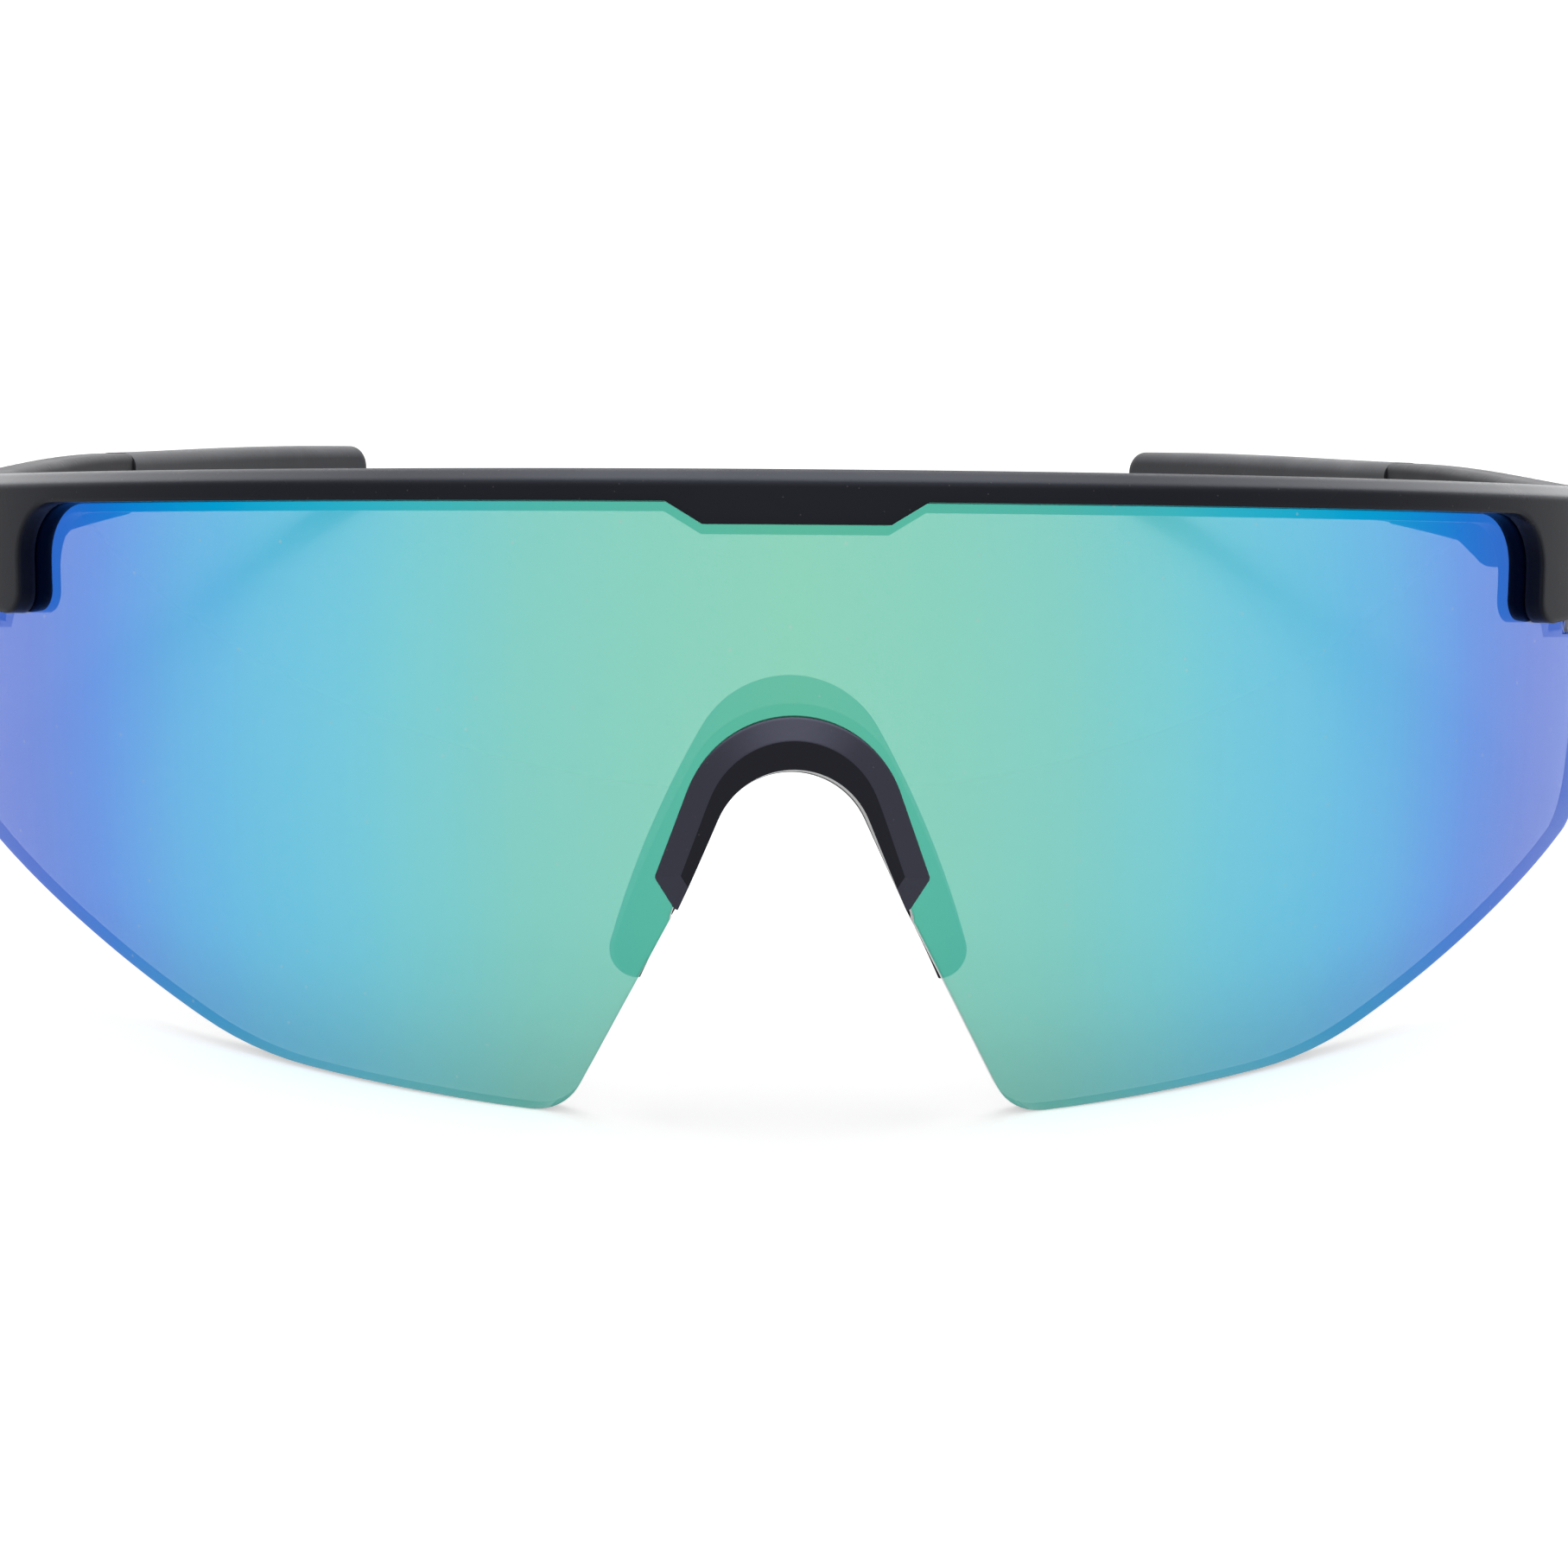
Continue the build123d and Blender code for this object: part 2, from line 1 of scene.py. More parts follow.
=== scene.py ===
import json
from math import radians

import bmesh
import bpy
import numpy as np
from bpy.props import FloatProperty, FloatVectorProperty, PointerProperty
from mathutils import Matrix


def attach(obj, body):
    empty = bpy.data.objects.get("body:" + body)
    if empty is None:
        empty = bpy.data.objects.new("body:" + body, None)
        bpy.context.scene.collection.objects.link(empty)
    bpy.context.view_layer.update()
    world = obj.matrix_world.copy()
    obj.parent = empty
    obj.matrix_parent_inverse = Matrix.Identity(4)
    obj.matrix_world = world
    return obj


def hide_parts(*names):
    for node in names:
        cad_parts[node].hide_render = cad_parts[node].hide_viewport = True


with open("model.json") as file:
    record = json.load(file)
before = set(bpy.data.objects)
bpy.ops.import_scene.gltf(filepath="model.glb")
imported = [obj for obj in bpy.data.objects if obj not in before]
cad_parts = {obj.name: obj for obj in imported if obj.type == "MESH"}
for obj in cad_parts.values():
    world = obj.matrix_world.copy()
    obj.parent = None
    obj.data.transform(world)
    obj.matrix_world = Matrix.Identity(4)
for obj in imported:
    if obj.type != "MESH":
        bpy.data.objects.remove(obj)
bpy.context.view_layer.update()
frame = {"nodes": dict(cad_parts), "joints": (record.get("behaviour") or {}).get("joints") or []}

bl_info = {
    "name": "Wraparound sport sunglasses",
    "version": (1, 0, 0),
    "blender": (4, 5, 0),
    "location": "3D View > Sidebar > Sunglasses",
    "description": "Builds the mirrored lens and finishes the frame, temples, pads and screws",
    "category": "Object",
}

MM = 0.001

# Distances within which points count as one, or as lying on a surface
SAME_POINT = 0.001 * MM
SAME_LENS_POINT = 0.002 * MM
ON_SURFACE = 0.01 * MM


# ---------------------------------------------------------------------------------------------
# Sizes and colours that a user would change
# ---------------------------------------------------------------------------------------------


def length(name, description, default):
    """A length in metres, given in millimetres."""
    size = default * MM
    return FloatProperty(name=name, description=description, default=size, unit="LENGTH", precision=5)


def factor(name, description, default):
    """A share from 0 to 1."""
    limits = {"min": 0, "max": 1}
    return FloatProperty(name=name, description=description, default=default, subtype="FACTOR", **limits)


def colour(name, description, default):
    """A linear colour."""
    limits = {"min": 0, "max": 1, "size": 3}
    return FloatVectorProperty(name=name, description=description, default=default, subtype="COLOR", **limits)


def amount(name, description, default):
    """A plain number, such as a strength."""
    return FloatProperty(name=name, description=description, default=default)


class LensSettings(bpy.types.PropertyGroup):
    face_radius: length("Face radius", "Radius of the lens round the face", 86.0)
    upright_radius: length("Upright radius", "Radius of the lens from top to bottom", 145.0)
    widest_height: length("Widest height", "Height at which the lens is foremost", -4.0)
    thickness: length("Thickness", "Thickness of the lens", 1.8)
    edge_reach: length("Edge reach", "How far the wall stands out from the front face's outline", 0.5)
    edge_round: length("Edge rounding", "Rounding along the lens's front edge", 0.25)
    back_round: length("Back edge rounding", "Rounding along the lens's back edge", 0.12)
    frosted_wall: factor("Frosted wall", "Share of the thickness over which the wall is frosted", 0.85)
    sight_height: length("Sight height", "Height of the point that the lens's edges are cut towards", -26.575)
    coating_alpha: factor("Coating cover", "Share of the light that the mirror coating stops", 0.8)
    body_alpha: factor("Tint", "Share of the light that the tinted plastic stops", 0.35)
    edge_alpha: factor("Edge tint", "Share of the light that the frosted wall stops", 0.95)
    middle_colour: colour("Middle", "Coating colour at the middle of the lens", (0.106, 0.470, 0.328))
    inner_colour: colour("Inner", "Coating colour in front of the eyes' inner corners", (0.073, 0.447, 0.400))
    quarter_colour: colour("Quarter", "Coating colour a quarter of the way round", (0.034, 0.425, 0.518))
    half_colour: colour("Half", "Coating colour half of the way round", (0.005, 0.357, 0.592))
    side_colour: colour("Side", "Coating colour towards the sides", (0.0, 0.277, 0.608))
    bend_colour: colour("Bend", "Coating colour at the sharpest of the wrap", (0.0, 0.180, 0.612))
    end_colour: colour("End", "Coating colour at the lens's ends", (0.02, 0.112, 0.545))
    # Painted shade: how far the coating is darkened towards the lens's lower edge
    painted_lower_shade: factor("Painted lower shade", "Share of the coating's brightness left at the lower edge", 0.82)


class FrameSettings(bpy.types.PropertyGroup):
    plastic_colour: colour("Plastic", "Colour of the moulded frame", (0.003, 0.003, 0.004))
    plastic_roughness: factor("Plastic roughness", "Roughness of the moulded frame", 0.3)
    temple_roughness: factor("Temple roughness", "Roughness of the temple arms", 0.55)
    rubber_colour: colour("Rubber", "Colour of the soft sleeves and pad", (0.012, 0.012, 0.013))
    rubber_roughness: factor("Rubber roughness", "Roughness of the soft sleeves and pad", 0.62)


class StageSettings(bpy.types.PropertyGroup):
    focal_length: amount("Focal length", "Focal length of the camera, in millimetres", 100.95)
    floor_colour: colour("Table", "Colour of the light table", (0.9, 0.9, 0.9))
    floor_glow: amount("Table glow", "How brightly the light table glows", 0.45)
    floor_reach: amount("Table reach", "How far the light table reaches each way, in metres", 30.0)
    surround: amount("Surround", "Brightness of the room as a light", 0.6)
    reflected: amount("Reflected", "Brightness of the room in reflections", 1.285)
    softbox: amount("Softbox", "Brightness of the softbox above and behind", 4.6)
    overhead: amount("Overhead light", "Strength of the soft light above", 1.1)


def settings(name):
    """One of the add-on's groups of settings, from the scene."""
    return getattr(bpy.context.scene, name)


# ---------------------------------------------------------------------------------------------
# The worn frame: x across the face, y back along the temples, z up, from the top of the brow
# ---------------------------------------------------------------------------------------------

HINGE_PLACE = np.array([67.845, 40.896, -5.55]) * MM
LEFT_FOLD = next(joint for joint in frame["joints"] if joint["name"] == "left_fold")
HINGE_AXIS = np.array(LEFT_FOLD["axis"])
WORN_AXES = np.array([[1, 0, 0], [0, HINGE_AXIS[2], HINGE_AXIS[1]], [0, -HINGE_AXIS[1], HINGE_AXIS[2]]])
WORN_ORIGIN = np.array(LEFT_FOLD["pos_m"]) - WORN_AXES @ HINGE_PLACE


def standing(points):
    """Points of the worn frame, turned and moved to where they stand on the table."""
    return points @ WORN_AXES.T + WORN_ORIGIN


def worn(points):
    """Points on the table, taken back to the worn frame."""
    return (points - WORN_ORIGIN) @ WORN_AXES


# ---------------------------------------------------------------------------------------------
# Meshes
# ---------------------------------------------------------------------------------------------


def grid_faces(rows, columns, start=0, closed=False):
    """Quads of a grid of points stored row by row; a closed grid joins its last column to its first."""
    row = np.arange(rows - 1)[:, None] * columns
    column = np.arange(columns if closed else columns - 1)[None, :]
    beside = (column + 1) % columns
    corners = [row + column, row + beside, row + columns + beside, row + columns + column]
    return np.stack(corners, axis=-1).reshape(-1, 4) + start


def mesh_from(name, points, faces, slots=None):
    """A mesh of quads from arrays of points and faces, with a material slot number for each face."""
    mesh = bpy.data.meshes.new(name)
    mesh.from_pydata(points.tolist(), [], faces.tolist())
    if slots is not None:
        mesh.polygons.foreach_set("material_index", slots.astype(np.int32))
    mesh.polygons.foreach_set("use_smooth", np.ones(len(mesh.polygons), bool))
    mesh.update()
    return mesh


def finished(name, mesh, body, slot, materials, *nodes):
    """Put a mesh in the scene as a piece that rides on a body and stands for CAD nodes."""
    piece = bpy.data.objects.new(name, mesh)
    bpy.context.scene.collection.objects.link(piece)
    for material in materials:
        mesh.materials.append(material)
    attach(piece, body)
    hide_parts(*nodes)
    return piece


def smooth_copy(node, crease):
    """A CAD node's mesh with its loose triangles merged, smooth but for its creases."""
    mesh = frame["nodes"][node].data.copy()
    mesh.name = node + "_smooth"
    mesh.materials.clear()
    work = bmesh.new()
    work.from_mesh(mesh)
    bmesh.ops.remove_doubles(work, verts=work.verts, dist=SAME_POINT)
    for edge in work.edges:
        edge.smooth = not (edge.is_manifold and edge.calc_face_angle(0.0) > radians(crease))
    for face in work.faces:
        face.smooth = True
        face.material_index = 0
    work.to_mesh(mesh)
    work.free()
    return mesh


def weighted(piece):
    """Let a piece's large faces decide its shading next to their roundings."""
    modifier = piece.modifiers.new("Flat faces stay flat", "WEIGHTED_NORMAL")
    modifier.keep_sharp = True
    modifier.weight = 80
    return piece


# ---------------------------------------------------------------------------------------------
# Shader node groups and materials
# ---------------------------------------------------------------------------------------------


# The Mix node has sockets for every kind of data; these are its plain numbers and its colours
NUMBER_A, NUMBER_B, NUMBER_MIXED = 2, 3, 0
COLOUR_A, COLOUR_B, COLOUR_MIXED = 6, 7, 2


class Nodes:
    """Adds and links shader nodes in one tree, with short calls."""

    def __init__(self, tree):
        self.tree = tree

    def feed(self, socket, value):
        """Link an output to an input socket, or set the input to a plain value."""
        if isinstance(value, bpy.types.NodeSocket):
            self.tree.links.new(value, socket)
        else:
            socket.default_value = value

    def add(self, kind, inputs=None, **properties):
        """A node of a kind, with its properties set and its inputs fed."""
        node = self.tree.nodes.new(kind)
        for name, value in properties.items():
            setattr(node, name, value)
        for name, value in (inputs or {}).items():
            self.feed(node.inputs[name], value)
        return node

    def maths(self, operation, first, second=0.0, clamp=False):
        """One step of arithmetic."""
        inputs = {0: first, 1: second}
        return self.add("ShaderNodeMath", operation=operation, use_clamp=clamp, inputs=inputs).outputs[0]

    def ramp(self, value, stops, interpolation="EASE"):
        """A ramp through (place, colour) stops."""
        node = self.add("ShaderNodeValToRGB", {"Fac": value})
        node.color_ramp.interpolation = interpolation
        while len(node.color_ramp.elements) < len(stops):
            node.color_ramp.elements.new(0.5)
        for element, (place, shade) in zip(node.color_ramp.elements, stops):
            element.position = place
            element.color = (*shade, 1.0)
        return node.outputs["Color"]

    def mix(self, share, first, second, blend="MIX"):
        """Two colours mixed."""
        node = self.add("ShaderNodeMix", data_type="RGBA", blend_type=blend, inputs={"Factor": share})
        for socket, value in ((COLOUR_A, first), (COLOUR_B, second)):
            linked = isinstance(value, bpy.types.NodeSocket)
            self.feed(node.inputs[socket], value if linked else (*value, 1.0))
        return node.outputs[COLOUR_MIXED]


def node_group(name, inputs, outputs):
    """A new shader node group with float sockets, and its Nodes helper."""
    group = bpy.data.node_groups.new(name, "ShaderNodeTree")
    for label, default in inputs.items():
        socket = group.interface.new_socket(label, in_out="INPUT", socket_type="NodeSocketFloat")
        socket.default_value = default
    for label in outputs:
        group.interface.new_socket(label, in_out="OUTPUT", socket_type="NodeSocketFloat")
    nodes = Nodes(group)
    return nodes, nodes.add("NodeGroupInput"), nodes.add("NodeGroupOutput")


def moulded_surface_group():
    """Fine mould texture: grain for the bump, and broad patches for the roughness."""
    if "Moulded surface" in bpy.data.node_groups:
        return bpy.data.node_groups["Moulded surface"]
    sizes = {"Grains": 2500.0, "Patches": 45.0}
    nodes, given, result = node_group("Moulded surface", sizes, ["Grain", "Patch"])
    place = nodes.add("ShaderNodeTexCoord").outputs["Object"]
    grains = {"Vector": place, "Scale": given.outputs["Grains"]}
    patches = {"Vector": place, "Scale": given.outputs["Patches"]}
    grain = nodes.add("ShaderNodeTexVoronoi", grains)
    fine = nodes.add("ShaderNodeTexNoise", {**grains, "Detail": 3.0})
    patch = nodes.add("ShaderNodeTexNoise", {**patches, "Detail": 5.0})
    height = nodes.maths("ADD", grain.outputs["Distance"], nodes.maths("MULTIPLY", fine.outputs["Fac"], 0.6))
    nodes.feed(result.inputs["Grain"], height)
    nodes.feed(result.inputs["Patch"], patch.outputs["Fac"])
    return nodes.tree


def handling_group():
    """Traces of handling: soft smudges from fingers and a few specks of dust."""
    if "Handling" in bpy.data.node_groups:
        return bpy.data.node_groups["Handling"]
    nodes, given, result = node_group("Handling", {"Smudges": 60.0, "Specks": 900.0}, ["Smudge", "Dust"])
    place = nodes.add("ShaderNodeTexCoord").outputs["Object"]
    smudges = {"Vector": place, "Scale": given.outputs["Smudges"], "Detail": 2.0, "Distortion": 1.2}
    smudge = nodes.add("ShaderNodeTexNoise", smudges)
    strongest = {"Value": smudge.outputs["Fac"], "From Min": 0.5, "From Max": 0.75}
    soft = nodes.add("ShaderNodeMapRange", strongest)
    specks = nodes.add("ShaderNodeTexVoronoi", {"Vector": place, "Scale": given.outputs["Specks"]})
    nodes.feed(result.inputs["Smudge"], soft.outputs["Result"])
    nodes.feed(result.inputs["Dust"], nodes.maths("LESS_THAN", specks.outputs["Distance"], 0.06))
    return nodes.tree


def new_material(name):
    """A new material with a Principled shader: (material, its Nodes helper, its shader)."""
    material = bpy.data.materials.new(name)
    material.use_nodes = True
    nodes = Nodes(material.node_tree)
    shader = material.node_tree.nodes["Principled BSDF"]
    return material, nodes, shader


def grouped(nodes, group, **values):
    """Place a node group in a material with its own values."""
    node = nodes.add("ShaderNodeGroup", node_tree=group)
    for name, value in values.items():
        node.inputs[name].default_value = value
    return node


def uneven_roughness(nodes, patch, roughness, swing):
    """A roughness that swings about its middle value with the patches of a moulded surface."""
    limits = {"Value": patch, "To Min": roughness - swing, "To Max": roughness + swing}
    return nodes.add("ShaderNodeMapRange", limits).outputs["Result"]


# Painted reflection colour: a bluish tint laid on the plastics' and rubber's reflections
PAINTED_BLUE_SHEEN = (0.72, 0.78, 1.0)
DUST_ON_PLASTIC = (0.09, 0.085, 0.08)


def moulded_material(
    name,
    shade,
    roughness,
    grains,
    grain_depth,
    smudge=0.1,
    specular=0.3,
    worn_edge=0.3,
    painted_sheen=PAINTED_BLUE_SHEEN,
):
    """Moulded plastic or rubber: a mould grain, patches of differing gloss, smudges, dust and worn edges,
    with a painted bluish tint on its reflections.
    """
    if name in bpy.data.materials:
        return bpy.data.materials[name]
    material, nodes, shader = new_material(name)
    surface = grouped(nodes, moulded_surface_group(), Grains=grains)
    handling = grouped(nodes, handling_group())
    lighter = tuple(min(1.0, channel * 1.6 + 0.002) for channel in shade)
    tone = nodes.mix(surface.outputs["Patch"], tuple(shade), lighter)
    dust = nodes.maths("MULTIPLY", handling.outputs["Dust"], 0.35)
    nodes.feed(shader.inputs["Base Color"], nodes.mix(dust, tone, DUST_ON_PLASTIC))

    uneven = uneven_roughness(nodes, surface.outputs["Patch"], roughness, 0.06)
    smudged = nodes.maths("MULTIPLY", handling.outputs["Smudge"], -smudge)
    nodes.feed(shader.inputs["Roughness"], nodes.maths("ADD", uneven, smudged, clamp=True))

    edges = nodes.add("ShaderNodeBevel", {"Radius": worn_edge * MM}, samples=6)
    grain = {
        "Height": surface.outputs["Grain"],
        "Strength": 0.5,
        "Distance": grain_depth * MM,
        "Normal": edges.outputs["Normal"],
    }
    nodes.feed(shader.inputs["Normal"], nodes.add("ShaderNodeBump", grain).outputs["Normal"])
    shader.inputs["Specular IOR Level"].default_value = specular
    # Painted reflection colour: the reflections are tinted bluish
    shader.inputs["Specular Tint"].default_value = (*painted_sheen, 1.0)
    return material


def frame_plastic():
    """Satin black injection-moulded nylon."""
    chosen = settings("sunglasses_frame")
    shade, roughness = chosen.plastic_colour, chosen.plastic_roughness
    name = "Satin black plastic"
    return moulded_material(name, shade, roughness, 2600.0, 0.004, specular=0.15, worn_edge=0.7)


def clip_plastic(name, specular, painted_sheen):
    """Nylon with glossier reflections and a painted bluish tint on them, as on the nose clip."""
    chosen = settings("sunglasses_frame")
    shade, roughness = chosen.plastic_colour, chosen.plastic_roughness - 0.04
    return moulded_material(name, shade, roughness, 2600.0, 0.003, specular=specular, painted_sheen=painted_sheen)


def temple_plastic():
    """The same nylon with a duller finish, as on the temples."""
    chosen = settings("sunglasses_frame")
    shade, roughness = chosen.plastic_colour, chosen.temple_roughness
    return moulded_material("Dull black plastic", shade, roughness, 2200.0, 0.008, smudge=0.05, specular=0.08)


def soft_rubber():
    """Matt elastomer."""
    chosen = settings("sunglasses_frame")
    shade, roughness = chosen.rubber_colour, chosen.rubber_roughness
    return moulded_material("Soft rubber", shade, roughness, 1800.0, 0.01, smudge=0.05, specular=0.16)


COATING_DUST = (0.4, 0.45, 0.42)
COATING_FROM_INSIDE = (0.03, 0.03, 0.035)


def coating_tint(nodes, across, upwards):
    """The coating's colour, from the angle round the face and the height, each from 0 to 1.

    The ramp runs outwards from the middle, and spreads by a tenth towards the lens's lower edge. Painted
    shade darkens the coating towards that lower edge.
    """
    chosen = settings("sunglasses_lens")
    sweep = nodes.maths("ABSOLUTE", nodes.maths("SUBTRACT", across, 0.5))
    spread = nodes.maths("ADD", nodes.maths("MULTIPLY", upwards, 0.2), 1.8)
    stops = [
        (0.0, chosen.middle_colour),
        (0.26, chosen.inner_colour),
        (0.39, chosen.quarter_colour),
        (0.54, chosen.half_colour),
        (0.63, chosen.side_colour),
        (0.71, chosen.bend_colour),
        (0.83, chosen.end_colour),
    ]
    tint = nodes.ramp(nodes.maths("MULTIPLY", sweep, spread, clamp=True), stops, interpolation="CARDINAL")
    # Painted shade: the coating grows darker towards the lens's lower edge
    painted_shade_below = {"Value": upwards, "From Max": 0.35, "To Min": chosen.painted_lower_shade, "To Max": 1.0}
    shade = nodes.add("ShaderNodeMapRange", painted_shade_below, interpolation_type="SMOOTHSTEP")
    return nodes.mix(1.0, tint, shade.outputs["Result"], blend="MULTIPLY")


def mirror_coating():
    """Mirror coating, whose colour runs from green at the middle through cyan and blue to violet."""
    if "Mirror coating" in bpy.data.materials:
        return bpy.data.materials["Mirror coating"]
    material, nodes, shader = new_material("Mirror coating")
    place = nodes.add("ShaderNodeUVMap", uv_map="Sweep and drop").outputs["UV"]
    parts = nodes.add("ShaderNodeSeparateXYZ", {"Vector": place})
    tint = coating_tint(nodes, parts.outputs["X"], parts.outputs["Y"])
    handling = grouped(nodes, handling_group(), Smudges=25.0, Specks=420.0)
    dust = nodes.maths("MULTIPLY", handling.outputs["Dust"], 0.25)
    inside = nodes.add("ShaderNodeNewGeometry").outputs["Backfacing"]
    coloured = nodes.mix(inside, nodes.mix(dust, tint, COATING_DUST), COATING_FROM_INSIDE)
    nodes.feed(shader.inputs["Base Color"], coloured)
    gloss = nodes.maths("ADD", nodes.maths("MULTIPLY", handling.outputs["Smudge"], 0.03), 0.03)
    nodes.feed(shader.inputs["Roughness"], gloss)
    shader.inputs["Metallic"].default_value = 1.0
    shader.inputs["Alpha"].default_value = settings("sunglasses_lens").coating_alpha
    return material


POLISHED_TINT = (0.03, 0.035, 0.035)
SMUDGED_TINT = (0.045, 0.05, 0.05)


def lens_plastic(name, cover):
    """Tinted polycarbonate: dark and polished, and as clear as its cover lets it be."""
    if name in bpy.data.materials:
        return bpy.data.materials[name]
    material, nodes, shader = new_material(name)
    handling = grouped(nodes, handling_group(), Smudges=30.0, Specks=420.0)
    tone = nodes.mix(handling.outputs["Smudge"], POLISHED_TINT, SMUDGED_TINT)
    nodes.feed(shader.inputs["Base Color"], tone)
    gloss = nodes.maths("ADD", nodes.maths("MULTIPLY", handling.outputs["Smudge"], 0.04), 0.05)
    nodes.feed(shader.inputs["Roughness"], gloss)
    shader.inputs["Alpha"].default_value = cover
    return material


def turned_metal(name, shade, roughness):
    """Small turned metal: fine tool marks, and a slightly worn tone."""
    if name in bpy.data.materials:
        return bpy.data.materials[name]
    material, nodes, shader = new_material(name)
    surface = grouped(nodes, moulded_surface_group(), Grains=6000.0, Patches=300.0)
    darker = tuple(channel * 0.6 for channel in shade)
    nodes.feed(shader.inputs["Base Color"], nodes.mix(surface.outputs["Patch"], darker, shade))
    nodes.feed(shader.inputs["Roughness"], uneven_roughness(nodes, surface.outputs["Patch"], roughness, 0.08))
    marks = {"Height": surface.outputs["Grain"], "Strength": 0.3, "Distance": 0.005 * MM}
    nodes.feed(shader.inputs["Normal"], nodes.add("ShaderNodeBump", marks).outputs["Normal"])
    shader.inputs["Metallic"].default_value = 1.0
    return material


# ---------------------------------------------------------------------------------------------
# Lens
# ---------------------------------------------------------------------------------------------


def shell_offset(points):
    """How far points of the worn frame stand in front of the lens's front surface.

    The shell is an arc of the upright radius, turned about an upright axis behind the face.
    """
    lens = settings("sunglasses_lens")
    distance = np.hypot(points[:, 0], points[:, 1] - lens.face_radius)
    reach = np.hypot(distance - lens.face_radius + lens.upright_radius, points[:, 2] - lens.widest_height)
    return reach - lens.upright_radius


def around_axis(height, depth):
    """Distance from the upright axis at a height, a depth behind the lens's front surface.

    With r the upright radius less the depth, and h the height above the widest height, it is
    face radius - upright radius + sqrt(r^2 - h^2).
    """
    lens = settings("sunglasses_lens")
    arc = np.sqrt((lens.upright_radius - depth) ** 2 - (height - lens.widest_height) ** 2)
    return lens.face_radius - lens.upright_radius + arc


def on_shell(sweep, height, depth):
    """Points behind the front surface's points at an angle round the face and a height.

    They lie at a depth in the lens, on lines towards the point of sight: the same angle, and
    height' = sight height + (height - sight height) * distance at the depth / distance at the front.
    """
    lens = settings("sunglasses_lens")
    nearer = around_axis(height, depth) / around_axis(height, 0.0)
    height = lens.sight_height + (height - lens.sight_height) * nearer
    distance = around_axis(height, depth)
    across = distance * np.sin(sweep)
    back = lens.face_radius - distance * np.cos(sweep)
    return np.stack(np.broadcast_arrays(across, back, height), axis=-1)


def front_outline():
    """The outline of the CAD lens's front face in order, as rows of (angle round the face, height)."""
    mesh = smooth_copy("shield_lens", crease=30.0)
    work = bmesh.new()
    work.from_mesh(mesh)
    bpy.data.meshes.remove(mesh)
    work.verts.ensure_lookup_table()
    points = worn(np.array([corner.co for corner in work.verts]))
    in_front = np.abs(shell_offset(points)) < ON_SURFACE
    front = {face for face in work.faces if all(in_front[corner.index] for corner in face.verts)}
    rim = {edge for edge in work.edges if len(front.intersection(edge.link_faces)) == 1}
    start = min((edge.verts[0] for edge in rim), key=lambda corner: points[corner.index][2])
    loop, corner = [start.index], start
    while rim:
        onward = next((edge for edge in corner.link_edges if edge in rim), None)
        if onward is None:
            break
        rim.remove(onward)
        corner = onward.other_vert(corner)
        loop.append(corner.index)
    work.free()
    if loop[0] != loop[-1]:
        raise ValueError("the lens's front outline isn't closed")
    ordered = points[loop[:-1]]
    lens = settings("sunglasses_lens")
    sweep = np.arctan2(ordered[:, 0], lens.face_radius - ordered[:, 1])
    return np.column_stack([sweep, ordered[:, 2]])


def evenly(path, count):
    """Points at even distances along a path, both ends kept."""
    lens = settings("sunglasses_lens")
    flat = path * np.array([lens.face_radius, 1.0])
    run = np.concatenate([[0.0], np.cumsum(np.hypot(*np.diff(flat, axis=0).T))])
    wanted = np.linspace(0.0, run[-1], count)
    return np.column_stack([np.interp(wanted, run, path[:, axis]) for axis in (0, 1)])


def outward(loop):
    """Unit normals of a closed loop of (angle, height) points, measured on the shell."""
    lens = settings("sunglasses_lens")
    flat = loop * np.array([lens.face_radius, 1.0])
    along = np.roll(flat, -1, axis=0) - np.roll(flat, 1, axis=0)
    along /= np.linalg.norm(along, axis=1, keepdims=True)
    area = np.sum(flat[:, 0] * np.roll(flat[:, 1], -1) - np.roll(flat[:, 0], -1) * flat[:, 1])
    normal = np.column_stack([along[:, 1], -along[:, 0]]) * np.sign(area)
    return normal / np.array([lens.face_radius, 1.0])


def between(lower, upper, rows):
    """Rows of points from a lower path to an upper path, closer together near both."""
    share = (1 - np.cos(np.linspace(0, np.pi, rows))) / 2
    return lower[None] * (1 - share[:, None, None]) + upper[None] * share[:, None, None]


LENS_COLUMNS = 520
LENS_ROWS = 40
ROUNDING_STEPS = 5
COATED, INSIDE, EDGE = 0, 1, 2


def split_outline(outline):
    """The lens's lower outline and its top edge, both from end to end at even distances."""
    top = outline[:, 1].max()
    corners = np.flatnonzero(outline[:, 1] > top - ON_SURFACE)
    left = corners[np.argmin(outline[corners, 0])]
    right = corners[np.argmax(outline[corners, 0])]
    loop = np.roll(outline, -left, axis=0)
    span = (right - left) % len(outline)
    first, second = loop[: span + 1], np.concatenate([loop[span:], loop[:1]])
    lower, upper = (first, second[::-1]) if first[:, 1].min() < second[:, 1].min() else (second[::-1], first)
    return evenly(lower, LENS_COLUMNS), evenly(upper, LENS_COLUMNS)


def edge_profile():
    """The lens's edge from front to back, as (distance outwards, depth) and the slot of each step."""
    lens = settings("sunglasses_lens")
    steps = np.linspace(0, np.pi / 2, ROUNDING_STEPS)
    profile = [(0.0, 0.0)]
    for step in steps:
        out = lens.edge_reach - lens.edge_round * (1 - np.sin(step))
        profile.append((out, lens.edge_round * (1 - np.cos(step))))
    coated = len(profile) - 1
    profile.append((lens.edge_reach, lens.thickness * lens.frosted_wall))
    for step in steps[::-1]:
        out = lens.edge_reach - lens.back_round * (1 - np.sin(step))
        profile.append((out, lens.thickness - lens.back_round * (1 - np.cos(step))))
    profile.append((0.0, lens.thickness))
    return profile, [COATED] * coated + [EDGE] + [INSIDE] * (len(profile) - coated - 2)


